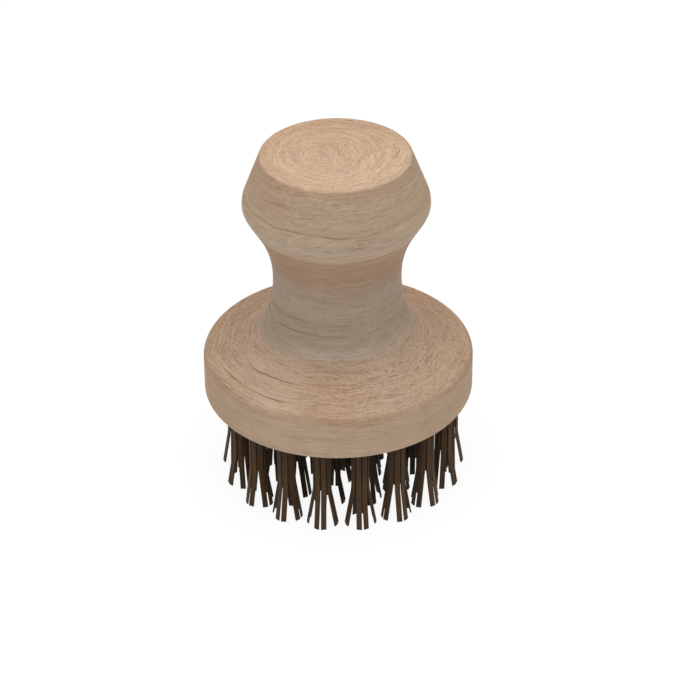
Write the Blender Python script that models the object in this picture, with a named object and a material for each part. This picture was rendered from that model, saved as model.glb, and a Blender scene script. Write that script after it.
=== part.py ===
"""Palm-held scrubbing brush: a turned beech body with staple-set tufts of stiff, square-cut plant fibre.

The brush stands on its tips. The origin is at the centre of the tips, +Z runs up the turning axis.
"""
import bpy
import bmesh
from math import cos, pi, radians, sin, sqrt
from mathutils import Matrix, Vector

MM = 0.001

# Turned body: each height is measured from the one before it, starting at the head's underside.
HEAD_RADIUS = 40.0 * MM
HEAD_THICKNESS = 14.5 * MM
NECK_RISE = 23.8 * MM
NECK_RADIUS = 18.8 * MM
KNOB_RISE = 24.3 * MM
KNOB_RADIUS = 27.2 * MM
CAP_RISE = 15.6 * MM
CAP_TAPER = radians(21)

# Roundings of the turned body.
FOOT_ROUND = 1.6 * MM
RIM_ROUND = 3.25 * MM
KNOB_ROUND = 8.2 * MM
CAP_ROUND = 0.9 * MM

# How far each sweep holds its direction before it bends into the next one.
HEAD_SWEEP = 13.0 * MM
NECK_SWEEP_DOWN = 13.1 * MM
NECK_SWEEP_UP = 14.2 * MM
KNOB_SWEEP = 3.9 * MM

# Tufts: flat strands, four leaning pairs round one shorter upright strand.
STRAND_WIDTH = 1.1 * MM
STRAND_THICKNESS = 0.7 * MM
STRAND_LENGTH = 28.5 * MM
TIP_TRIM = 0.5 * MM
PAIR_GAP = 0.48 * MM
MIDDLE_ROOM = 1.25 * MM
MIDDLE_LENGTH = 15.5 * MM
RADIAL_SPLAY = 1.85 * MM
RADIAL_BEND = 17.4 * MM
SIDE_SPLAY = 2.15 * MM
SIDE_BEND = 15.6 * MM

# Layout of the tufts on the underside. The drilled pattern sits a little to one side of the turning axis.
TUFTS_PER_RING_STEP = 6
TUFT_CLEARANCE = 0.35 * MM
MIDDLE_TUFT_ROOM = 0.85 * MM
RIM_LAND = 1.75 * MM
PATTERN_SHIFT = 1.1 * MM
PATTERN_TURN = radians(18.75)

# Holes in the wood and the bundle's root in each of them.
HOLE_COVER = 4.0 * MM
ROOT_RECESS = 0.6 * MM
ROOT_MARGIN = 0.05 * MM
CLEARANCE = 0.3 * MM
FACET_ALLOWANCE = 0.05 * MM

# Flat steel wire across each hole: the fibre folds over it, two strands deep.
FOLD_LAYERS = 2
WIRE_WIDTH = 2.0 * MM
WIRE_THICKNESS = 0.5 * MM
WIRE_BITE = 1.0 * MM
WIRE_EDGE = 0.12 * MM

# Facets of the round shapes and steps along the body's outline.
TURN_STEPS = 60
HOLE_SIDES = 12
ROOT_SIDES = 8
FOOT_STEPS = 2
RIM_STEPS = 4
FLARE_STEPS = 8
WAIST_STEPS = 7
BULGE_STEPS = 3
CAP_STEPS = 3
EDGE_ANGLE = radians(40)
CUTTER_OVERRUN = 1.0 * MM
MERGE_DISTANCE = 0.001 * MM

# Values worked out from those above.
UNDERSIDE_Z = STRAND_LENGTH - TIP_TRIM
HALF_WIDTH = STRAND_WIDTH / 2
HALF_THICKNESS = STRAND_THICKNESS / 2
PAIR_ROW = (STRAND_WIDTH + PAIR_GAP) / 2
OUTER_ROW = HALF_WIDTH + MIDDLE_ROOM + HALF_THICKNESS
BUNDLE_FLAT = OUTER_ROW + HALF_THICKNESS
BUNDLE_CORNER = (BUNDLE_FLAT + PAIR_ROW + HALF_WIDTH) / sqrt(2)
ROOT_FLAT = max(BUNDLE_CORNER, BUNDLE_FLAT) + ROOT_MARGIN
ROOT_RADIUS = ROOT_FLAT / cos(pi / ROOT_SIDES)
HOLE_RADIUS = ROOT_RADIUS + CLEARANCE + FACET_ALLOWANCE
HOLE_DEPTH = HEAD_THICKNESS - HOLE_COVER
ROOT_TOP = HOLE_DEPTH - CLEARANCE
FOLD_HALF_WIDTH = WIRE_THICKNESS / 2 + CLEARANCE + STRAND_WIDTH
WIRE_TOP = ROOT_TOP - FOLD_LAYERS * STRAND_WIDTH - CLEARANCE
WIRE_MIDDLE = WIRE_TOP - WIRE_WIDTH / 2
WIRE_LENGTH = 2 * (HOLE_RADIUS + WIRE_BITE)
TUFT_SPACING = 2 * (BUNDLE_FLAT + RADIAL_SPLAY) + TUFT_CLEARANCE
INNER_RING_RADIUS = TUFT_SPACING + MIDDLE_TUFT_ROOM
OUTER_RING_RADIUS = HEAD_RADIUS - FOOT_ROUND - RIM_LAND - HOLE_RADIUS - PATTERN_SHIFT
RING_COUNT = 1 + max(0, int((OUTER_RING_RADIUS - INNER_RING_RADIUS) / TUFT_SPACING))
RING_PITCH = (OUTER_RING_RADIUS - INNER_RING_RADIUS) / max(1, RING_COUNT - 1)


def clear_scene():
    for obj in list(bpy.data.objects):
        bpy.data.objects.remove(obj, do_unlink=True)


def make_material(name, color, roughness, metallic=0.0):
    material = bpy.data.materials.new(name)
    material.use_nodes = True
    shader = material.node_tree.nodes["Principled BSDF"]
    shader.inputs["Base Color"].default_value = (*color, 1.0)
    shader.inputs["Roughness"].default_value = roughness
    shader.inputs["Metallic"].default_value = metallic
    return material


def add_object(name, mesh, parent=None, place=None):
    """Link a mesh as a named object at a place under its parent."""
    obj = bpy.data.objects.new(name, mesh)
    bpy.context.scene.collection.objects.link(obj)
    obj.parent = parent
    if place is not None:
        obj.matrix_local = place
    return obj


def finish_mesh(shape, name):
    """Turn a bmesh into a mesh with its faces pointing out."""
    bmesh.ops.recalc_face_normals(shape, faces=shape.faces)
    mesh = bpy.data.meshes.new(name)
    shape.to_mesh(mesh)
    shape.free()
    return mesh


def arc(center, radius, start, end, steps):
    """Points (r, z) of an arc about center, with both its ends."""
    points = []
    for step in range(steps + 1):
        angle = start + (end - start) * step / steps
        points.append((center[0] + radius * cos(angle), center[1] + radius * sin(angle)))
    return points


def sweep(start, start_pull, end_pull, end, steps):
    """Points (r, z) of a cubic curve, without its two ends."""
    points = []
    for step in range(1, steps):
        t = step / steps
        weights = ((1 - t) ** 3, 3 * t * (1 - t) ** 2, 3 * t * t * (1 - t), t ** 3)
        corners = (start, start_pull, end_pull, end)
        points.append(tuple(sum(w * corner[axis] for w, corner in zip(weights, corners)) for axis in (0, 1)))
    return points


def body_profile():
    """Outline (r, z) of the turned body, from the underside's edge to the edge of the flat top."""
    rim_z = HEAD_THICKNESS
    neck_z = rim_z + NECK_RISE
    knob_z = neck_z + KNOB_RISE
    top_z = knob_z + CAP_RISE
    head_top = (HEAD_RADIUS - RIM_ROUND, rim_z)
    neck = (NECK_RADIUS, neck_z)
    knob = (KNOB_RADIUS, knob_z)

    foot = arc((HEAD_RADIUS - FOOT_ROUND, FOOT_ROUND), FOOT_ROUND, -pi / 2, 0, FOOT_STEPS)
    rim = arc((HEAD_RADIUS - RIM_ROUND, rim_z - RIM_ROUND), RIM_ROUND, 0, pi / 2, RIM_STEPS)
    flare_pulls = (head_top[0] - HEAD_SWEEP, rim_z), (NECK_RADIUS, neck_z - NECK_SWEEP_DOWN)
    flare = sweep(head_top, *flare_pulls, neck, FLARE_STEPS)
    waist_pulls = (NECK_RADIUS, neck_z + NECK_SWEEP_UP), (KNOB_RADIUS, knob_z - KNOB_SWEEP)
    waist = sweep(neck, *waist_pulls, knob, WAIST_STEPS)
    bulge = arc((KNOB_RADIUS - KNOB_ROUND, knob_z), KNOB_ROUND, 0, CAP_TAPER, BULGE_STEPS)

    # The cone leaves the bulge along its tangent and meets the rounding of the flat top.
    tangent_r, tangent_z = bulge[-1]
    round_z = top_z - CAP_ROUND
    climb = (round_z + CAP_ROUND * sin(CAP_TAPER) - tangent_z) / cos(CAP_TAPER)
    round_r = tangent_r - climb * sin(CAP_TAPER) - CAP_ROUND * cos(CAP_TAPER)
    cap = arc((round_r, round_z), CAP_ROUND, CAP_TAPER, pi / 2, CAP_STEPS)
    return foot + rim + flare + [neck] + waist + bulge + cap


def turned_mesh():
    """Spin the outline round the axis and close its two flat ends."""
    shape = bmesh.new()
    points = [shape.verts.new((r, 0, z)) for r, z in body_profile()]
    edges = [shape.edges.new(pair) for pair in zip(points, points[1:])]
    bmesh.ops.spin(
        shape, geom=points + edges, cent=(0, 0, 0), axis=(0, 0, 1),
        angle=2 * pi, steps=TURN_STEPS, use_merge=True
    )
    bmesh.ops.remove_doubles(shape, verts=shape.verts, dist=MERGE_DISTANCE)
    open_edges = [edge for edge in shape.edges if edge.is_boundary]
    bmesh.ops.holes_fill(shape, edges=open_edges, sides=0)
    mesh = finish_mesh(shape, "turned_body")
    mesh.shade_smooth()
    mesh.set_sharp_from_angle(angle=EDGE_ANGLE)
    return mesh


def ring_places(ring):
    """Name and hole-mouth place, with +X pointing outwards, for each tuft of one ring."""
    middle = Matrix.Translation((PATTERN_SHIFT, 0, UNDERSIDE_Z)) @ Matrix.Rotation(PATTERN_TURN, 4, "Z")
    if ring == 0:
        return {"center": middle}
    count = TUFTS_PER_RING_STEP * ring
    radius = OUTER_RING_RADIUS - (RING_COUNT - ring) * RING_PITCH
    places = {}
    for index in range(count):
        turn = Matrix.Rotation(2 * pi * index / count, 4, "Z")
        places[f"ring{ring}_{index + 1:02d}"] = middle @ turn @ Matrix.Translation((radius, 0, 0))
    return places


def wire_box(growth):
    """Box of the flat wire across a hole, grown by a clearance on every side."""
    size = (WIRE_THICKNESS + 2 * growth, WIRE_LENGTH + 2 * growth, WIRE_WIDTH + 2 * growth, 1)
    return Matrix.Translation((0, 0, WIRE_MIDDLE)) @ Matrix.Diagonal(size)


def wire_mesh():
    """Short piece of flat wire with its four long edges eased."""
    shape = bmesh.new()
    bmesh.ops.create_cube(shape, size=1, matrix=wire_box(0))
    long_edges = [e for e in shape.edges if abs(e.verts[0].co.y - e.verts[1].co.y) > WIRE_LENGTH / 2]
    bmesh.ops.bevel(shape, geom=long_edges, offset=WIRE_EDGE, segments=1, affect="EDGES")
    return finish_mesh(shape, "anchor")


def hole_cutter(places):
    """Drill for every blind hole, in one mesh."""
    shape = bmesh.new()
    height = HOLE_DEPTH + CUTTER_OVERRUN
    half_facet = Matrix.Rotation(pi / HOLE_SIDES, 4, "Z")
    for place in places:
        middle = Matrix.Translation((0, 0, HOLE_DEPTH - height / 2))
        bmesh.ops.create_cone(
            shape, cap_ends=True, segments=HOLE_SIDES, radius1=HOLE_RADIUS, radius2=HOLE_RADIUS, depth=height,
            matrix=place @ middle @ half_facet
        )
    return finish_mesh(shape, "hole_cutter")


def pocket_cutter(places):
    """Room that each wire takes across its hole and in the wood on both sides, in one mesh."""
    shape = bmesh.new()
    for place in places:
        bmesh.ops.create_cube(shape, size=1, matrix=place @ wire_box(CLEARANCE))
    return finish_mesh(shape, "pocket_cutter")


def add_cutter(name, mesh, parent=None):
    """Add an object that only guides a Boolean."""
    cutter = add_object(name, mesh, parent)
    cutter.hide_render = True
    cutter.display_type = "WIRE"
    return cutter


def cut(obj, cutter):
    modifier = obj.modifiers.new(cutter.name, "BOOLEAN")
    modifier.operation = "DIFFERENCE"
    modifier.solver = "EXACT"
    modifier.object = cutter


def strand_paths():
    """Quarter turn and centre line of each strand of one tuft, from its root down to its trimmed tip.

    One short strand hangs straight down in the middle. The others lean away from it in four pairs, outwards
    first and then a quarter turn apart.
    """
    paths = [(0, [Vector((0, 0, ROOT_RECESS)), Vector((0, 0, -MIDDLE_LENGTH))])]
    outwards = inwards = (RADIAL_BEND, RADIAL_SPLAY)
    sideways = other_way = (SIDE_BEND, SIDE_SPLAY)
    for quarter, (drop, splay) in enumerate((outwards, sideways, inwards, other_way)):
        kept = (UNDERSIDE_Z - drop) / (STRAND_LENGTH - drop)
        for side in (-1, 1):
            root = Vector((OUTER_ROW, side * PAIR_ROW, ROOT_RECESS))
            bend = Vector((OUTER_ROW, side * PAIR_ROW, -drop))
            grown_tip = Vector((OUTER_ROW + splay, side * PAIR_ROW, -STRAND_LENGTH))
            paths.append((quarter, [root, bend, bend.lerp(grown_tip, kept)]))
    return paths


def strand_ring(shape, center, quarter):
    """Four corners of a strand's section, in order, with its flat side facing its own way out."""
    turn = Matrix.Rotation(quarter * pi / 2, 3, "Z")
    corners = ((-1, -1), (1, -1), (1, 1), (-1, 1))
    return [
        shape.verts.new(turn @ (center + Vector((HALF_THICKNESS * a, HALF_WIDTH * b, 0)))) for a, b in corners
    ]


def root_ring(shape):
    """Corners of the bundle's round root at its lower face, with a flat side towards +X, in order."""
    ring = []
    for index in range(ROOT_SIDES):
        angle = pi * (2 * index + 1) / ROOT_SIDES
        ring.append(shape.verts.new((ROOT_RADIUS * cos(angle), ROOT_RADIUS * sin(angle), ROOT_RECESS)))
    return ring


def fold_ring(shape):
    """Corners of the narrow top where the bundle folds over the wire, in the order of the root's quarters."""
    corners = ((1, 1), (-1, 1), (-1, -1), (1, -1))
    return [shape.verts.new((FOLD_HALF_WIDTH * a, BUNDLE_FLAT * b, ROOT_TOP)) for a, b in corners]


def loop_edges(shape, ring):
    return [shape.edges.new((a, b)) for a, b in zip(ring, ring[1:] + ring[:1])]


def bridge(shape, ring_a, ring_b):
    """Wall of quads between two rings of as many corners."""
    for index in range(len(ring_a)):
        following = (index + 1) % len(ring_a)
        shape.faces.new((ring_a[index], ring_a[following], ring_b[following], ring_b[index]))


def bundle_mesh():
    """Folded root of one tuft with its strands growing out of its lower face."""
    shape = bmesh.new()
    base = root_ring(shape)
    fold = fold_ring(shape)
    base_edges = loop_edges(shape, base)
    shape.faces.new(fold)
    for quarter in range(4):
        corner, following = fold[quarter], fold[(quarter + 1) % 4]
        near, far, beyond = (base[(2 * quarter + step) % ROOT_SIDES] for step in (0, 1, 2))
        shape.faces.new((near, far, corner))
        shape.faces.new((far, beyond, following, corner))

    for quarter, path in strand_paths():
        rings = [strand_ring(shape, point, quarter) for point in path]
        base_edges += loop_edges(shape, rings[0])
        for ring_a, ring_b in zip(rings, rings[1:]):
            bridge(shape, ring_a, ring_b)
        shape.faces.new(rings[-1])
    bmesh.ops.triangle_fill(shape, edges=base_edges, use_beauty=True, use_dissolve=False, normal=(0, 0, -1))
    return finish_mesh(shape, "bundle")


def threaded_mesh(bundle):
    """The bundle with the slot through its fold that the wire lies in."""
    obj = add_object("threaded_bundle", bundle)
    cutter = add_cutter("wire_slot", pocket_cutter([Matrix()]))
    cut(obj, cutter)
    bpy.context.view_layer.update()
    mesh = bpy.data.meshes.new_from_object(obj.evaluated_get(bpy.context.evaluated_depsgraph_get()))
    bpy.data.objects.remove(obj, do_unlink=True)
    bpy.data.objects.remove(cutter, do_unlink=True)
    return mesh


def add_body(parent, holes, pockets):
    body = add_object("turned_body", turned_mesh(), parent, Matrix.Translation((0, 0, UNDERSIDE_Z)))
    body.data.materials.append(make_material("beech", (0.72, 0.55, 0.40), 0.6))
    cut(body, add_cutter("hole_cutter", hole_cutter(holes), parent))
    cut(body, add_cutter("pocket_cutter", pocket_cutter(pockets), parent))


def add_tufts(parent, threaded, plain):
    """One tuft in each hole, with its wire inside its solid root, or threaded through it as its own piece."""
    bundle = bundle_mesh()
    bundle.materials.append(make_material("plant_fibre", (0.06, 0.035, 0.022), 0.65))
    slotted_bundle = threaded_mesh(bundle)
    wire = wire_mesh()
    wire.materials.append(make_material("steel_wire", (0.6, 0.6, 0.62), 0.35, 1.0))

    for label, place in plain.items():
        add_object("tuft_" + label, bundle, parent, place)
    for label, place in threaded.items():
        add_object("tuft_" + label, slotted_bundle, parent, place)
        add_object("anchor_" + label, wire, parent, place)


clear_scene()
brush = add_object("brush", None)
threaded_places = ring_places(0) | ring_places(RING_COUNT)
plain_places = {}
for ring_number in range(1, RING_COUNT):
    plain_places |= ring_places(ring_number)
all_places = list(threaded_places.values()) + list(plain_places.values())
add_body(brush, all_places, threaded_places.values())
add_tufts(brush, threaded_places, plain_places)
bpy.context.view_layer.update()
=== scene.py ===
"""Palm-held scrubbing brush: a turned beech body with tufts of stiff dark fibre set into its head."""
from math import atan2, cos, pi, radians, sin

import bpy
from mathutils import Matrix, Vector


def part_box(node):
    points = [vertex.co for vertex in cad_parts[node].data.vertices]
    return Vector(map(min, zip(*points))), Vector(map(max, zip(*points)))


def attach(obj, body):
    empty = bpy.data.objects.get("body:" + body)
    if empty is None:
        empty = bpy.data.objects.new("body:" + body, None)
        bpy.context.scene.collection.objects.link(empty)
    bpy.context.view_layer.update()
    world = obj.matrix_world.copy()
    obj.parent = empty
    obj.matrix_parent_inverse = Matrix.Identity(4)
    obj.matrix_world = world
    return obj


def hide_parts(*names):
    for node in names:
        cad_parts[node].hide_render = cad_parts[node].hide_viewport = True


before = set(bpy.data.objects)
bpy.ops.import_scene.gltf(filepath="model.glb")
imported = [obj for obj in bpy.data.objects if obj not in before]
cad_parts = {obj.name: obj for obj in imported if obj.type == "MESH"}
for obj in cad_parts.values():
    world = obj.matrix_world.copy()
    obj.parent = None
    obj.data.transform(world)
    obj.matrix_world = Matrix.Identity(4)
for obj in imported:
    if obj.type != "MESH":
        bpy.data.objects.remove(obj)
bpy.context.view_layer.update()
MM = 0.001


# The body is one block of pale beech. It is turned on a lathe to a round brush head, a waisted neck and a
# knob that fills the palm, then sanded and left bare. The outline is drawn at its real size and spun.
body_low, body_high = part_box("turned_body")
underside_z = body_low.z
knob_top_z = body_high.z
head_radius = (body_high.x - body_low.x) / 2
head_top_z = underside_z + 14.5 * MM
neck_z = head_top_z + 23.8 * MM
neck_radius = 18.8 * MM
bulge_z = neck_z + 24.3 * MM
bulge_radius = 27.2 * MM
cone_taper = radians(21)
foot_round = 1.6 * MM
rim_round = 3.25 * MM
bulge_round = 8.2 * MM
cap_round = 0.9 * MM
flare_pull_in = 13.0 * MM
flare_pull_down = 13.1 * MM
waist_pull_up = 14.2 * MM
waist_pull_down = 3.9 * MM
flat_margin = 0.4 * MM
lathe_steps = 240
sweep_steps = 30
rim_steps = 12
round_steps = 6


def arc(middle, radius, start, end, steps):
    """Points (radius, height) round part of a circle, both ends included."""
    turns = [start + (end - start) * step / steps for step in range(steps + 1)]
    return [(middle[0] + radius * cos(turn), middle[1] + radius * sin(turn)) for turn in turns]


def sweep(start, pull_out, pull_in, end, steps):
    """Points (radius, height) on a curve that leaves and arrives along its two pulls, without its ends."""
    corners = (start, pull_out, pull_in, end)
    points = []
    for step in range(1, steps):
        t = step / steps
        shares = ((1 - t) ** 3, 3 * t * (1 - t) ** 2, 3 * t * t * (1 - t), t ** 3)
        points.append(tuple(
            sum(share * corner[axis] for share, corner in zip(shares, corners)) for axis in (0, 1)
        ))
    return points


def body_outline():
    """Half of the body's section, from the middle of its underside up to the middle of the knob's top."""
    foot = arc((head_radius - foot_round, underside_z + foot_round), foot_round, -pi / 2, 0, round_steps)
    rim = arc((head_radius - rim_round, head_top_z - rim_round), rim_round, 0, pi / 2, rim_steps)
    neck = (neck_radius, neck_z)
    flare_out = (rim[-1][0] - flare_pull_in, head_top_z)
    flare = sweep(rim[-1], flare_out, (neck_radius, neck_z - flare_pull_down), neck, sweep_steps)
    bulge = arc((bulge_radius - bulge_round, bulge_z), bulge_round, 0, cone_taper, round_steps)
    waist_up = (neck_radius, neck_z + waist_pull_up)
    waist = sweep(neck, waist_up, (bulge_radius, bulge_z - waist_pull_down), bulge[0], sweep_steps)
    cone_r, cone_z = bulge[-1]
    round_z = knob_top_z - cap_round
    climb = (round_z + cap_round * sin(cone_taper) - cone_z) / cos(cone_taper)
    round_r = cone_r - climb * sin(cone_taper) - cap_round * cos(cone_taper)
    cap = arc((round_r, round_z), cap_round, cone_taper, pi / 2, round_steps)
    underside = [(0, underside_z), (foot[0][0] - flat_margin, underside_z)]
    top = [(round_r - flat_margin, knob_top_z), (0, knob_top_z)]
    return underside + foot + rim + flare + [neck] + waist + bulge + cap + top


def shape(piece):
    """Start editing a piece with nothing on it selected."""
    bpy.ops.object.select_all(action="DESELECT")
    piece.select_set(True)
    bpy.context.view_layer.objects.active = piece
    bpy.ops.object.mode_set(mode="EDIT")
    bpy.ops.mesh.select_all(action="DESELECT")


def pick_faces(piece, wanted):
    """Select only the faces that pass a test, from object mode or edit mode, and go on editing."""
    shape(piece)
    bpy.ops.mesh.select_mode(type="FACE")
    bpy.ops.object.mode_set(mode="OBJECT")
    for face in piece.data.polygons:
        face.select = wanted(face)
    bpy.ops.object.mode_set(mode="EDIT")


def draw_out(*move):
    """Extrude what is selected."""
    bpy.ops.mesh.extrude_region_move(TRANSFORM_OT_translate={"value": move})


def close_up():
    """Merge doubled corners, turn the faces outwards and leave edit mode."""
    same_corner = 0.001 * MM
    bpy.ops.mesh.select_all(action="SELECT")
    bpy.ops.mesh.remove_doubles(threshold=same_corner)
    bpy.ops.mesh.normals_make_consistent(inside=False)
    bpy.ops.object.mode_set(mode="OBJECT")


def named(name):
    """Name the piece that was just added."""
    piece = bpy.context.object
    piece.name = piece.data.name = name
    return piece


def copy_to(piece, name, place):
    """A copy with a mesh of its own, its place taken into the mesh."""
    copy = piece.copy()
    copy.data = piece.data.copy()
    copy.name = copy.data.name = name
    bpy.context.scene.collection.objects.link(copy)
    copy.data.transform(place)
    return copy


outline = body_outline()
bpy.ops.object.select_all(action="DESELECT")
bpy.ops.mesh.primitive_plane_add(size=MM)
body = named("beech_body")
bpy.ops.object.mode_set(mode="EDIT")
bpy.ops.mesh.merge(type="CENTER")
bpy.ops.transform.translate(value=(0, 0, underside_z))
for (near_r, near_z), (far_r, far_z) in zip(outline, outline[1:]):
    draw_out(far_r - near_r, 0, far_z - near_z)
bpy.ops.mesh.select_all(action="SELECT")
bpy.ops.mesh.spin(steps=lathe_steps, angle=2 * pi, center=(0, 0, 0), axis=(0, 0, 1))
close_up()


# Blind holes for the tufts are drilled straight up into the head, in rings. The drill leaves a cone at the
# end of each hole, and its mouth is eased a little. A slot on both sides takes the ends of the tuft's wire.
tuft_nodes = sorted(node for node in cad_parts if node.startswith("tuft"))
hole_radius = 3.34 * MM
hole_depth = 10.5 * MM
mouth_ease = 0.25 * MM
drill_point = 1.9 * MM
drill_sides = 48
overrun = 1 * MM
square_on = 0.9
crease = radians(30)


def middle_of(node):
    """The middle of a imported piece's box."""
    low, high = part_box(node)
    return (low + high) / 2


hub = middle_of("tuft_center")
first = middle_of("tuft_ring1_01") - hub
hub_turn = atan2(first.y, first.x)


def hole_place(node):
    """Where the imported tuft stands, turned so that its own X points away from the middle of the rings."""
    spot = middle_of(node)
    out = spot - hub
    turn = hub_turn if out.xy.length < MM else atan2(out.y, out.x)
    return Matrix.Translation((spot.x, spot.y, 0)) @ Matrix.Rotation(turn, 4, "Z")


hole_places = {node: hole_place(node) for node in tuft_nodes}


def carve(piece, cutter, name):
    """Cut a copy of the cutter out of the piece at every hole."""
    copies = [copy_to(cutter, name, place) for place in hole_places.values()]
    bpy.data.objects.remove(cutter, do_unlink=True)
    bpy.ops.object.select_all(action="DESELECT")
    for copy in copies:
        copy.select_set(True)
    bpy.context.view_layer.objects.active = copies[0]
    bpy.ops.object.join()
    cutters = bpy.context.object
    bpy.ops.object.select_all(action="DESELECT")
    piece.select_set(True)
    bpy.context.view_layer.objects.active = piece
    cut = piece.modifiers.new(name, "BOOLEAN")
    cut.operation = "DIFFERENCE"
    cut.solver = "EXACT"
    cut.object = cutters
    bpy.ops.object.modifier_apply(modifier=cut.name)
    bpy.data.objects.remove(cutters, do_unlink=True)


bpy.ops.object.select_all(action="DESELECT")
bpy.ops.mesh.primitive_cylinder_add(vertices=drill_sides, radius=hole_radius, depth=hole_depth - mouth_ease)
drill = named("drill")
drill.data.transform(Matrix.Translation((0, 0, underside_z + (hole_depth + mouth_ease) / 2)))
pick_faces(drill, lambda face: face.normal.z > square_on)
draw_out(0, 0, drill_point)
bpy.ops.mesh.merge(type="CENTER")
bpy.ops.object.mode_set(mode="OBJECT")
pick_faces(drill, lambda face: face.normal.z < -square_on)
draw_out(0, 0, -mouth_ease)
mouth = (hole_radius + mouth_ease) / hole_radius
bpy.ops.transform.resize(value=(mouth, mouth, 1))
draw_out(0, 0, -overrun)
close_up()
carve(body, drill, "drills")

wire_low, wire_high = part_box("anchor_center")
wire_thickness = 0.5 * MM
wire_length = 8.69 * MM
wire_width = wire_high.z - wire_low.z
wire_z = (wire_high.z + wire_low.z) / 2
slot_play = 0.05 * MM


def wire_block(name, play):
    """A block as large as a wire and its play all round, at the wires' height."""
    bpy.ops.mesh.primitive_cube_add(size=1)
    piece = named(name)
    size = [side + 2 * play for side in (wire_thickness, wire_length, wire_width)]
    piece.data.transform(Matrix.Translation((0, 0, wire_z)) @ Matrix.Diagonal((*size, 1)))
    return piece


carve(body, wire_block("slot", slot_play), "slots")
bpy.ops.object.shade_smooth_by_angle(angle=crease)


# Bare beech. The lathe leaves its grain running round the axis, in bands where the tool went through paler,
# greyer and pinker wood. Pores show as dark dashes on the flat faces, and growth lines run further round.
# Colours are linear light, and every length in a material is in millimetres.
def feed(tree, socket, value):
    """Link another node's output to a socket, or set the socket to a plain value."""
    if isinstance(value, bpy.types.NodeSocket):
        tree.links.new(value, socket)
    else:
        socket.default_value = value


def reckon(tree, operation, *values):
    """A Math node's result."""
    node = tree.nodes.new("ShaderNodeMath")
    node.operation = operation
    for socket, value in zip(node.inputs, values):
        feed(tree, socket, value)
    return node.outputs[0]


def chain(tree, operation, first, *others):
    """A Math node's result, carried on with each further value."""
    for value in others:
        first = reckon(tree, operation, first, value)
    return first


def blend(tree, share, below, above, kind="MIX"):
    """Two colours mixed by a share from 0 to 1."""
    node = tree.nodes.new("ShaderNodeMix")
    node.data_type = "RGBA"
    node.blend_type = kind
    feed(tree, node.inputs["Factor"], share)
    feed(tree, node.inputs["A"], below)
    feed(tree, node.inputs["B"], above)
    return next(output for output in node.outputs if output.type == "RGBA")


def times(tree, share, colour, tint):
    """The colour with its red, green and blue multiplied by the tint's, as far as the share says."""
    return blend(tree, share, colour, (*tint, 1), "MULTIPLY")


def stretch(tree, value, low, high, to_low=0.0, to_high=1.0):
    """Map a range of values to another, clamped at both ends."""
    node = tree.nodes.new("ShaderNodeMapRange")
    for name, number in (("From Min", low), ("From Max", high), ("To Min", to_low), ("To Max", to_high)):
        node.inputs[name].default_value = number
    feed(tree, node.inputs["Value"], value)
    return node.outputs[0]


def gap(tree, value, level):
    """How far a value lies from a level, either way."""
    return reckon(tree, "ABSOLUTE", reckon(tree, "SUBTRACT", value, level))


def near(tree, value, level, inner, outer):
    """1 up to the inner distance from a level, falling to 0 at the outer one."""
    return stretch(tree, gap(tree, value, level), inner, outer, 1, 0)


def away(tree, x, y):
    """Distance from the upright line where x and y are zero."""
    squares = [reckon(tree, "MULTIPLY", side, side) for side in (x, y)]
    return reckon(tree, "SQRT", reckon(tree, "ADD", *squares))


def clouds(tree, vector, w=None, scale=1.0, detail=2.0, roughness=0.5):
    """Soft noise from about 0.3 to 0.7, in three dimensions or, with w, in four."""
    node = tree.nodes.new("ShaderNodeTexNoise")
    node.noise_dimensions = "3D" if w is None else "4D"
    feed(tree, node.inputs["Vector"], vector)
    if w is not None:
        feed(tree, node.inputs["W"], w)
    node.inputs["Scale"].default_value = scale
    node.inputs["Detail"].default_value = detail
    node.inputs["Roughness"].default_value = roughness
    return node.outputs[0]


def split(tree, vector):
    """The three parts of a vector."""
    node = tree.nodes.new("ShaderNodeSeparateXYZ")
    feed(tree, node.inputs[0], vector)
    return node.outputs


def start_material(name):
    """A new material, its node tree, its shader and the surface's own coordinates in millimetres."""
    material = bpy.data.materials.new(name)
    material.use_nodes = True
    tree = material.node_tree
    place = tree.nodes.new("ShaderNodeTexCoord").outputs["Object"]
    scale = tree.nodes.new("ShaderNodeVectorMath")
    scale.operation = "SCALE"
    scale.inputs["Scale"].default_value = 1 / MM
    tree.links.new(place, scale.inputs[0])
    return material, tree, tree.nodes["Principled BSDF"], scale.outputs[0]


def raise_surface(tree, shader, height, strength):
    """Make the surface look uneven where it is too fine to be modelled."""
    most_relief = 0.1 * MM
    bump = tree.nodes.new("ShaderNodeBump")
    bump.inputs["Strength"].default_value = strength
    bump.inputs["Distance"].default_value = most_relief
    feed(tree, bump.inputs["Height"], height)
    feed(tree, shader.inputs["Normal"], bump.outputs[0])


beech, tree, shader, place = start_material("bare_beech")
x, y, z = split(tree, place)


def swing(scale, detail, reach):
    """Slow noise over the wood that swings by its reach either way."""
    return stretch(tree, clouds(tree, place, scale=scale, detail=detail), 0.3, 0.7, -reach, reach)


# On the knob's flat top the grain closes in on a heart, a little left of the axis and in front of it.
heart_reach = 21
heart_left = 6.5
heart_forward = 2.5
drift = stretch(tree, away(tree, x, y), 0, heart_reach, 1, 0)
heart_x = reckon(tree, "MULTIPLY_ADD", drift, heart_left, x)
heart_y = reckon(tree, "MULTIPLY_ADD", drift, heart_forward, y)
around = reckon(tree, "ARCTAN2", heart_y, heart_x)
out = reckon(tree, "ADD", away(tree, heart_x, heart_y), swing(scale=0.09, detail=2, reach=0.6))


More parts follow.
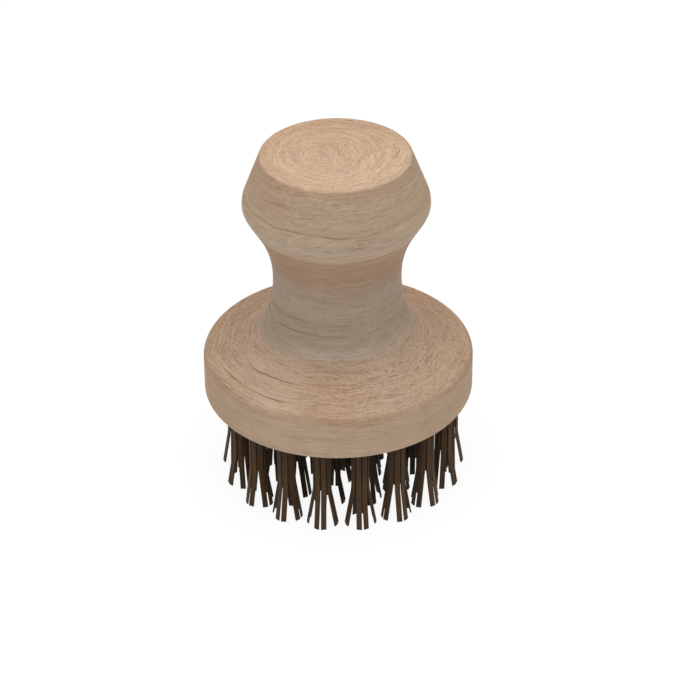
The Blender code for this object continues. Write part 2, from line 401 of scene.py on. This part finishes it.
def grain(across, along, detail=2.0, roughness=0.5, twist=0.0):
    """Noise of so many turns a millimetre across the outline, and round the axis."""
    join = tree.nodes.new("ShaderNodeCombineXYZ")
    feed(tree, join.inputs[0], reckon(tree, "MULTIPLY", out, across))
    feed(tree, join.inputs[1], reckon(tree, "MULTIPLY", z, across))
    feed(tree, join.inputs[2], reckon(tree, "MULTIPLY", x, along))
    deep = reckon(tree, "MULTIPLY", y, along)
    noise = clouds(tree, join.outputs[0], deep, detail=detail, roughness=roughness)
    noise.node.inputs["Distortion"].default_value = twist
    return noise


# Heights up the body, with the wood's colour there and how open its pores lie. Both change evenly between.
bands = (
    (39.0, (0.536, 0.401, 0.284), 0.1),
    (40.8, (0.457, 0.312, 0.212), 0.3),
    (42.3, (0.540, 0.406, 0.297), 0.9),
    (44.5, (0.596, 0.458, 0.345), 0.9),
    (50.2, (0.563, 0.436, 0.331), 0.8),
    (51.0, (0.495, 0.412, 0.330), 0.1),
    (52.8, (0.480, 0.395, 0.306), 0.1),
    (54.2, (0.463, 0.376, 0.288), 0.1),
    (60.0, (0.470, 0.381, 0.293), 0.1),
    (62.0, (0.502, 0.412, 0.328), 0.1),
    (66.0, (0.500, 0.409, 0.328), 0.1),
    (69.0, (0.478, 0.386, 0.307), 0.1),
    (72.0, (0.457, 0.349, 0.264), 0.1),
    (77.0, (0.456, 0.315, 0.215), 0.1),
    (84.2, (0.465, 0.320, 0.222), 0.1),
    # From here to 90.8 the knob's underside is paler and greyer: partly its own wood, partly painted light
    # from below.
    (85.0, (0.560, 0.460, 0.350), 0.15),
    (90.8, (0.560, 0.458, 0.344), 0.15),
    (93.8, (0.527, 0.412, 0.300), 0.15),
    (94.6, (0.511, 0.395, 0.280), 0.15),
    (102.0, (0.504, 0.384, 0.271), 0.15),
    (105.7, (0.496, 0.366, 0.256), 0.15),
    (106.1, (0.675, 0.516, 0.375), 0.9),
)
ramp_top = 112
foot_z = 52
foot_drop_left = 0.7
foot_rise_right = 1.3

# The bands waver, except round the edge of the flat top. The neck's grey foot reaches lower on the left and
# starts higher on the right.
steady_top = stretch(tree, z, 104.0, 105.5, 1, 0)
wavy_z = reckon(tree, "MULTIPLY_ADD", swing(scale=0.07, detail=3, reach=0.6), steady_top, z)
drop = stretch(tree, x, -16, -6, foot_drop_left, 0)
rise = stretch(tree, x, 6, 18, 0, -foot_rise_right)
by_foot = near(tree, z, foot_z, 3, 6)
wavy_z = reckon(tree, "MULTIPLY_ADD", reckon(tree, "ADD", drop, rise), by_foot, wavy_z)
ramp = tree.nodes.new("ShaderNodeValToRGB")
stops = ramp.color_ramp.elements
stops.remove(stops[1])
for number, (height, colour, openness) in enumerate(bands):
    stop = stops[0] if number == 0 else stops.new(height / ramp_top)
    stop.position = height / ramp_top
    stop.color = (*colour, openness)
feed(tree, ramp.inputs[0], reckon(tree, "DIVIDE", wavy_z, ramp_top))
wood, open_pores = ramp.outputs
closed = stretch(tree, open_pores, 0.16, 0.5, 1, 0)

# Streaks and soft blushes run round the axis.
blushes = stretch(tree, grain(0.12, 0.012, detail=3, twist=0.3), 0.42, 0.66, 0.0, 0.4)
broad_streaks = stretch(tree, grain(0.35, 0.022, detail=3), 0.32, 0.68)
short_streaks = stretch(tree, grain(0.45, 0.10, detail=3, twist=0.4), 0.35, 0.65)
fine_streaks = stretch(tree, grain(1.4, 0.11, detail=4, roughness=0.75, twist=0.4), 0.35, 0.65)
front_middle = reckon(tree, "MULTIPLY", near(tree, x, -1, 5, 13), stretch(tree, y, -4, -12))
lift = 1.25

# Each tint: its share, and what it multiplies red, green and blue by.
tints = (
    # Painted shade: the far side of the body, the back of the head and of the knob, is darker and redder.
    (stretch(tree, y, -head_radius / MM, head_radius / MM), (0.78, 0.67, 0.59)),
    (blushes, (1.03, 0.93, 0.88)),
    (broad_streaks, (0.90, 0.89, 0.88)),
    (short_streaks, (0.95, 0.94, 0.93)),
    # Closed wood is a little darker, and its fine streaks are fainter.
    (reckon(tree, "MULTIPLY", fine_streaks, stretch(tree, closed, 0, 1, 1, 0.7)), (0.76, 0.72, 0.68)),
    (closed, (0.965, 0.965, 0.965)),
    # Down the middle of the front, painted shade makes the head just in front of the neck darker and
    # warmer, and the neck's foot above it is paler.
    (reckon(tree, "MULTIPLY", front_middle, near(tree, wavy_z, 45, 4, 6)), (0.92, 0.87, 0.82)),
    (reckon(tree, "MULTIPLY", front_middle, near(tree, wavy_z, 51.8, 0.8, 1.8)), (1.07, 1.11, 1.15)),
    # On the right the foot is darker.
    (reckon(tree, "MULTIPLY", by_foot, stretch(tree, x, 16, 24)), (0.92, 0.93, 0.92)),
    # The tints together darken the wood, and the last one lifts it again.
    (1.0, (lift, lift, lift)),
)
for share, tint in tints:
    wood = times(tree, share, wood, tint)


def chance(one, two):
    """Three random numbers that belong to a pair of whole numbers."""
    join = tree.nodes.new("ShaderNodeCombineXYZ")
    feed(tree, join.inputs[0], one)
    feed(tree, join.inputs[1], two)
    dice = tree.nodes.new("ShaderNodeTexWhiteNoise")
    dice.noise_dimensions = "2D"
    feed(tree, dice.inputs["Vector"], join.outputs[0])
    numbers = tree.nodes.new("ShaderNodeSeparateColor")
    feed(tree, numbers.inputs[0], dice.outputs["Color"])
    return numbers.outputs


def dashes(pitch, length, half_width, offset, upright=False):
    """Strokes from 0 to 1 that run round the axis, in rows a pitch apart, one at most to each length.

    The rows lie outwards from the axis or, on upright sides, one above the other. Every row starts at a
    random turn, and every stroke has a random reach, place across its row and strength.
    """
    upright_radius = 24
    most_turn = 9
    rarely_strong = 1.8
    rows = reckon(tree, "MULTIPLY_ADD", wavy_z if upright else out, 1 / pitch, offset)
    row = reckon(tree, "FLOOR", rows)
    to_radian = upright_radius / length if upright else reckon(tree, "MULTIPLY", row, pitch / length)
    turned = reckon(tree, "MULTIPLY", around, to_radian)
    places = reckon(tree, "MULTIPLY_ADD", chance(row, offset)[0], most_turn, turned)
    reach, side, strength = chance(row, reckon(tree, "FLOOR", places))
    along = gap(tree, reckon(tree, "FRACT", places), 0.5)
    past_end = reckon(tree, "SUBTRACT", along, stretch(tree, reach, 0, 1, 0.12, 0.42))
    thin = half_width / pitch
    middle = stretch(tree, side, 0, 1, 0.3, 0.7)
    width = near(tree, reckon(tree, "FRACT", rows), middle, thin * 0.5, thin * 1.5)
    strength = reckon(tree, "POWER", stretch(tree, strength, 0.1, 1), rarely_strong)
    return chain(tree, "MULTIPLY", stretch(tree, past_end, -0.08, 0.02, 1, 0), width, strength)


dark_wood = (0.225, 0.115, 0.055, 1)
pale_wood = (0.730, 0.580, 0.440, 1)
fleck_strength = 0.5
pore_strength = 0.95

# Closed wood has faint threads: most on the knob, some on the neck's foot, and fewer towards the sides.
threads = reckon(
    tree, "MAXIMUM",
    dashes(pitch=0.6, length=3.2, half_width=0.09, offset=0.3, upright=True),
    dashes(pitch=1.2, length=7.0, half_width=0.10, offset=0.6, upright=True),
)
by_height = reckon(tree, "ADD", stretch(tree, z, 78, 90, 0.15, 0.75), stretch(tree, z, 56, 64, 0.3, 0))
by_side = stretch(tree, gap(tree, x, 0), 10, 20, 1, 0.35)
wood = blend(tree, chain(tree, "MULTIPLY", threads, closed, by_height, by_side), wood, dark_wood)

# Open wood has pale flecks and dark pores.
flecks = reckon(
    tree, "MAXIMUM",
    dashes(pitch=0.65, length=2.4, half_width=0.12, offset=0.7),
    dashes(pitch=0.5, length=1.9, half_width=0.09, offset=0.2),
)
wood = blend(tree, chain(tree, "MULTIPLY", flecks, open_pores, fleck_strength), wood, pale_wood)
pores = chain(
    tree, "MAXIMUM",
    dashes(pitch=0.55, length=2.2, half_width=0.085, offset=0.0),
    dashes(pitch=0.95, length=4.8, half_width=0.10, offset=0.4),
    reckon(tree, "MULTIPLY", dashes(pitch=0.45, length=1.7, half_width=0.075, offset=0.9), 0.9),
)

# The pores are faint in a quiet patch at the front left and where the flare turns up, and darkest far left.
quiet = chain(
    tree, "MULTIPLY",
    stretch(tree, x, -18, -3, 0.6, 0), stretch(tree, y, -8, -14), stretch(tree, z, 50, 60, 1, 0),
)
flare_turn = stretch(tree, gap(tree, z, 49.5), 1.0, 3.0, 0.45, 1)
far_left = stretch(tree, x, -32, -22, 1.3, 1)
loud = reckon(tree, "SUBTRACT", 1, quiet)
pores = chain(tree, "MULTIPLY", pores, open_pores, loud, flare_turn, far_left)
wood = blend(tree, reckon(tree, "MULTIPLY", pores, pore_strength), wood, dark_wood)


def growth_line(measure, at, reach, strength, fade_from, fade_to):
    """Share of a thin dark line at one height or radius, which fades out along x."""
    patchy = stretch(tree, clouds(tree, place, scale=0.13), 0.4, 0.6, 0.4 * strength, strength)
    fade = stretch(tree, x, fade_from, fade_to, 1.0, 0.1)
    return chain(tree, "MULTIPLY", near(tree, measure, at, 0.0, reach), patchy, fade)


# Growth lines: what they keep to, at which height or radius, half their width, their strength, where along
# x they fade, and where they show at all. Those on the head slant, further out on the left than in front.
slant = 0.063
slanted = reckon(tree, "MULTIPLY_ADD", x, slant, out)
front_left = stretch(tree, y, -11, -17)
growth_lines = (
    (wavy_z, 94.3, 0.40, 0.65, 2, 20, 1),
    (wavy_z, 56.9, 0.35, 0.85, -4, 8, 1),
    (wavy_z, 60.5, 0.35, 0.55, 8, 18, 1),
    (slanted, 23.35, 0.30, 0.5, -15, -12, front_left),
    (slanted, 27.55, 0.38, 0.85, -13, -9, front_left),
    (slanted, 33.9, 0.45, 1.1, -17, -14, front_left),
    (slanted, 36.5, 0.30, 0.4, -20, -16, front_left),
    (z, 41.4, 0.30, 0.5, -25, -19, front_left),
    (z, 40.6, 0.30, 0.5, -27, -21, front_left),
)
lines = [reckon(tree, "MULTIPLY", growth_line(*line), where) for *line, where in growth_lines]
wood = blend(tree, chain(tree, "MAXIMUM", *lines), wood, dark_wood)
feed(tree, shader.inputs["Base Color"], wood)
shader.inputs["Roughness"].default_value = 0.68
shader.inputs["Specular IOR Level"].default_value = 0.25
raise_surface(tree, shader, reckon(tree, "MULTIPLY_ADD", pores, -1, fine_streaks), 0.18)

body.data.materials.append(beech)
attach(body, "root")
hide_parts("turned_body")


# Each tuft is held by a short piece of flat drawn steel wire, driven across the bundle's fold until its two
# ends bite into the wood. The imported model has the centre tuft's wire and the outer ring's, and the wires
# of the rings between are added here.
wire_edge = 0.12 * MM
bright_steel = (0.56, 0.56, 0.58, 1)
dull_steel = (0.42, 0.41, 0.40, 1)


def streaks(tree, place, across, along, roughness):
    """Noise drawn out upwards, of so many turns a millimetre across it and along it."""
    draw = tree.nodes.new("ShaderNodeMapping")
    draw.inputs["Scale"].default_value = (across, across, along)
    feed(tree, draw.inputs["Vector"], place)
    return clouds(tree, draw.outputs[0], detail=3, roughness=roughness)


steel, tree, shader, place = start_material("drawn_steel")
scratches = streaks(tree, place, across=6, along=0.4, roughness=0.7)
dull = stretch(tree, clouds(tree, place, scale=0.5), 0.35, 0.65)
feed(tree, shader.inputs["Base Color"], blend(tree, dull, bright_steel, dull_steel))
feed(tree, shader.inputs["Roughness"], stretch(tree, scratches, 0.3, 0.7, 0.28, 0.5))
shader.inputs["Metallic"].default_value = 1.0
raise_surface(tree, shader, scratches, 0.1)

for node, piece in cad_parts.items():
    if node.startswith("anchor"):
        piece.data.materials.clear()
        piece.data.materials.append(steel)

wire = wire_block("wire", 0)
pick_faces(wire, lambda face: abs(face.normal.y) > square_on)
bpy.ops.mesh.select_all(action="INVERT")
bpy.ops.mesh.bevel(offset=wire_edge, segments=2, affect="EDGES")
close_up()
wire.data.materials.append(steel)
for node, hole in hole_places.items():
    if node.replace("tuft", "anchor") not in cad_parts:
        piece = copy_to(wire, node.replace("tuft", "wire"), hole)
        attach(piece, "root")
bpy.data.objects.remove(wire, do_unlink=True)


# A tuft is a bundle of stiff flat stalks of dark plant fibre, folded over its wire and pushed into the
# hole. They run straight down from the wood, flat sides outwards, then kink and lean away in four pairs
# that are a little fanned. The square stalks of the core between them end sooner.
stalk_width = 1.6 * MM
stalk_thickness = 0.45 * MM
core_width = 1.38 * MM
corner_ease = 0.1 * MM
core_row = 0.9 * MM
pair_row = 0.87 * MM
outer_row = 2.2 * MM
fan = radians(6)
radial_kink = 17.4 * MM
radial_lean = 1.77 * MM
side_kink = 15.6 * MM
side_lean = 2.07 * MM
core_length = 16 * MM
kink_half = 0.8 * MM
fold_gap = 0.05 * MM
fold_steps = 4
halves_meet = 0.01 * MM
fold_z = wire_high.z - wire_thickness / 2


def grow_stalk(stand, size, turn, route):
    """Draw a stalk up from its cut end, turned about itself, and bend its top over the wire."""
    reach = (size[0] * cos(turn) + size[1] * abs(sin(turn))) / 2
    fold_start = Vector((max(stand[0], wire_thickness / 2 + fold_gap + reach), stand[1], fold_z))
    bpy.ops.mesh.primitive_plane_add(size=1, location=route[0])
    bpy.ops.transform.resize(value=(*size, 1))
    bpy.ops.mesh.bevel(offset=corner_ease, affect="VERTICES")
    # When Blender runs without a window this operator turns clockwise, hence the minus.
    bpy.ops.transform.rotate(value=-turn, orient_axis="Z")
    for here, there in zip(route, route[1:] + [fold_start]):
        draw_out(*(there - here))
    bpy.ops.mesh.spin(steps=fold_steps, angle=pi / 2, center=(0, stand[1], fold_z), axis=(0, 1, 0))
    bpy.ops.mesh.delete(type="ONLY_FACE")


def leaning_stalk(stand, kink, lean, aim):
    """An outer stalk, whose tip leans away from the core in the direction that it aims in."""
    bend = Vector((*stand, underside_z - kink))
    tip = Vector((stand[0] + lean * cos(aim), stand[1] + lean * sin(aim), 0))
    route = [tip, bend.lerp(tip, kink_half / bend.z), bend + Vector((0, 0, kink_half))]
    grow_stalk(stand, (stalk_thickness, stalk_width), atan2(stand[1], stand[0]), route)


def core_stalk(stand):
    """One of the square stalks of the core, straight and cut off short."""
    end = Vector((*stand, underside_z - core_length))
    grow_stalk(stand, (core_width, core_width), 0, [end, Vector((*stand, underside_z))])


# Half of the bundle is drawn, the stalks that stand on one side of the wire. A mirror adds the rest.
bpy.ops.object.select_all(action="DESELECT")
bpy.ops.mesh.primitive_plane_add(size=MM)
tuft = named("tuft")
bpy.ops.object.mode_set(mode="EDIT")
bpy.ops.mesh.delete(type="VERT")
bpy.ops.mesh.select_mode(type="FACE")
for side in (-1, 1):
    leaning_stalk((outer_row, side * pair_row), radial_kink, radial_lean, side * fan)
    leaning_stalk((pair_row, side * outer_row), side_kink, side_lean, side * (pi / 2 - fan))
    core_stalk((core_row, side * core_row))
bpy.ops.object.mode_set(mode="OBJECT")
other_half = tuft.modifiers.new("other_half", "MIRROR")
other_half.use_axis = (True, False, False)
other_half.merge_threshold = halves_meet
bpy.ops.object.modifier_apply(modifier=other_half.name)
bpy.ops.object.mode_set(mode="EDIT")
close_up()
bpy.ops.object.shade_smooth_by_angle(angle=crease)

# Dry, dark brown stalk with paler and darker threads along it, here and there redder or greyer. Painted
# shade darkens it up near the wood and inside the outer ring, and it is darkest at the cut tips.
dark_thread = (0.050, 0.0265, 0.0112, 1)
pale_thread = (0.118, 0.063, 0.0245, 1)
redder = (0.088, 0.042, 0.020, 1)
greyer = (0.054, 0.037, 0.027, 1)
tip_brown = (0.035, 0.022, 0.014, 1)
inside_until = 26.2
outside_from = 27.4

fibre, tree, shader, place = start_material("dark_fibre")
stalk_threads = streaks(tree, place, across=3.2, along=0.10, roughness=0.65)
stalk_tone = clouds(tree, place, scale=0.45, detail=1)
stalk_x, stalk_y, stalk_z = split(tree, place)
inside = stretch(tree, away(tree, stalk_x, stalk_y), inside_until, outside_from, 1, 0)
facing = split(tree, tree.nodes.new("ShaderNodeNewGeometry").outputs["Normal"])[2]
cut_end = stretch(tree, facing, -0.95, -0.85, 1, 0)
brown = blend(tree, stretch(tree, stalk_threads, 0.35, 0.65), dark_thread, pale_thread)
brown = blend(tree, stretch(tree, stalk_tone, 0.52, 0.68, 0.0, 0.5), brown, redder)
brown = blend(tree, stretch(tree, stalk_tone, 0.32, 0.48, 0.45, 0.0), brown, greyer)
# Painted shade under the head, towards the wood.
brown = times(tree, stretch(tree, stalk_z, 14, 28), brown, (0.60, 0.61, 0.64))
# Painted shade on the tufts inside the outer ring.
brown = times(tree, inside, brown, (0.55, 0.53, 0.52))
feed(tree, shader.inputs["Base Color"], blend(tree, cut_end, brown, tip_brown))
feed(tree, shader.inputs["Roughness"], stretch(tree, stalk_threads, 0.35, 0.65, 0.55, 0.75))
shader.inputs["Specular IOR Level"].default_value = 0.2
raise_surface(tree, shader, stalk_threads, 0.4)
tuft.data.materials.append(fibre)

# Three tufts have stalks that broke off short. They are of the pairs that lean along the radius: the tuft,
# whether the stalk leans out (1) or in (-1), on which side of the pair it stands, and how much is missing.
broken = (
    ("tuft_ring3_13", -1, 1, 8.0 * MM),
    ("tuft_ring3_13", -1, -1, 9.6 * MM),
    ("tuft_ring3_15", -1, 1, 9.6 * MM),
    ("tuft_ring2_09", -1, 1, 9.6 * MM),
    ("tuft_ring2_09", 1, 1, 8.0 * MM),
)
core_reach = 3 * MM


def break_off(piece, out_or_in, side, rise):
    """Pull the cut end of a stalk back up along itself."""
    pick_faces(piece, lambda face: (
        face.center.z < MM and out_or_in * face.center.x > core_reach and side * face.center.y > 0
    ))
    run = rise / (underside_z - radial_kink) * radial_lean
    bpy.ops.transform.translate(value=(-out_or_in * run * cos(fan), -side * run * sin(fan), rise))
    bpy.ops.object.mode_set(mode="OBJECT")


for node, hole in hole_places.items():
    piece = copy_to(tuft, node.replace("tuft", "bristles"), Matrix())
    for tuft_node, *stalk in broken:
        if tuft_node == node:
            break_off(piece, *stalk)
    piece.data.transform(hole)
    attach(piece, "root")
    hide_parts(node)
bpy.data.objects.remove(tuft, do_unlink=True)


# The studio: a white floor that keeps a faint shadow, a broad lamp overhead and even light from all round.
# Looked at straight, the floor and the surroundings are brighter than the light that they give.
floor_size = 8
floor_white = (0.95, 0.95, 0.95, 1)
floor_glow = 1.03
glow_share = 0.9
soft_light = 0.48
straight_light = 0.975
lamp_size = 0.7
lamp_power = 4.65
lamp_place = (0, -0.10, 0.95)
lamp_tilt = radians(-6)


def straight_view(tree):
    """1 for rays that show the surroundings as they are, 0 for rays that gather soft light."""
    rays = tree.nodes.new("ShaderNodeLightPath").outputs
    sharp = reckon(tree, "MAXIMUM", rays["Is Glossy Ray"], rays["Is Transmission Ray"])
    return reckon(tree, "MAXIMUM", rays["Is Camera Ray"], sharp)


bpy.ops.object.select_all(action="DESELECT")
bpy.ops.mesh.primitive_plane_add(size=floor_size)
floor = named("floor")
floor_paint = bpy.data.materials.new("floor_paint")
floor_paint.use_nodes = True
tree = floor_paint.node_tree
matte = tree.nodes["Principled BSDF"]
matte.inputs["Base Color"].default_value = floor_white
matte.inputs["Roughness"].default_value = 0.9
glow = tree.nodes.new("ShaderNodeEmission")
glow.inputs["Strength"].default_value = floor_glow
seen = tree.nodes.new("ShaderNodeMixShader")
feed(tree, seen.inputs[0], reckon(tree, "MULTIPLY", straight_view(tree), glow_share))
feed(tree, seen.inputs[1], matte.outputs[0])
feed(tree, seen.inputs[2], glow.outputs[0])
feed(tree, tree.nodes["Material Output"].inputs["Surface"], seen.outputs[0])
floor.data.materials.append(floor_paint)

world = bpy.data.worlds.new("studio")
world.use_nodes = True
bpy.context.scene.world = world
tree = world.node_tree
sky = tree.nodes["Background"]
sky.inputs["Color"].default_value = (1, 1, 1, 1)
feed(tree, sky.inputs["Strength"], stretch(tree, straight_view(tree), 0, 1, soft_light, straight_light))

lamp_data = bpy.data.lights.new("softbox", "AREA")
lamp_data.shape = "DISK"
lamp_data.size = lamp_size
lamp_data.energy = lamp_power
lamp = bpy.data.objects.new("softbox", lamp_data)
lamp.location = lamp_place
lamp.rotation_euler = (lamp_tilt, 0, 0)
bpy.context.scene.collection.objects.link(lamp)

# The camera stands in front of the brush, not quite 80 cm away, and looks down on it through a long lens.
camera_distance = 789.2 * MM
camera_rise = radians(33.92)
camera_pitch = radians(33.08)
camera_yaw = radians(0.153)
camera_roll = radians(0.632)
camera_lens = 137.71
film_width = 36
camera_data = bpy.data.cameras.new("camera")
camera_data.lens = camera_lens
camera_data.sensor_width = film_width
camera = bpy.data.objects.new("camera", camera_data)
bpy.context.scene.collection.objects.link(camera)
stand = (0, -camera_distance * cos(camera_rise), underside_z + camera_distance * sin(camera_rise))
camera.matrix_world = (
    Matrix.Translation(stand) @ Matrix.Rotation(-camera_yaw, 4, "Z")
    @ Matrix.Rotation(pi / 2 - camera_pitch, 4, "X") @ Matrix.Rotation(-camera_roll, 4, "Z")
)
bpy.context.scene.camera = camera
bpy.context.scene.view_settings.view_transform = "Standard"
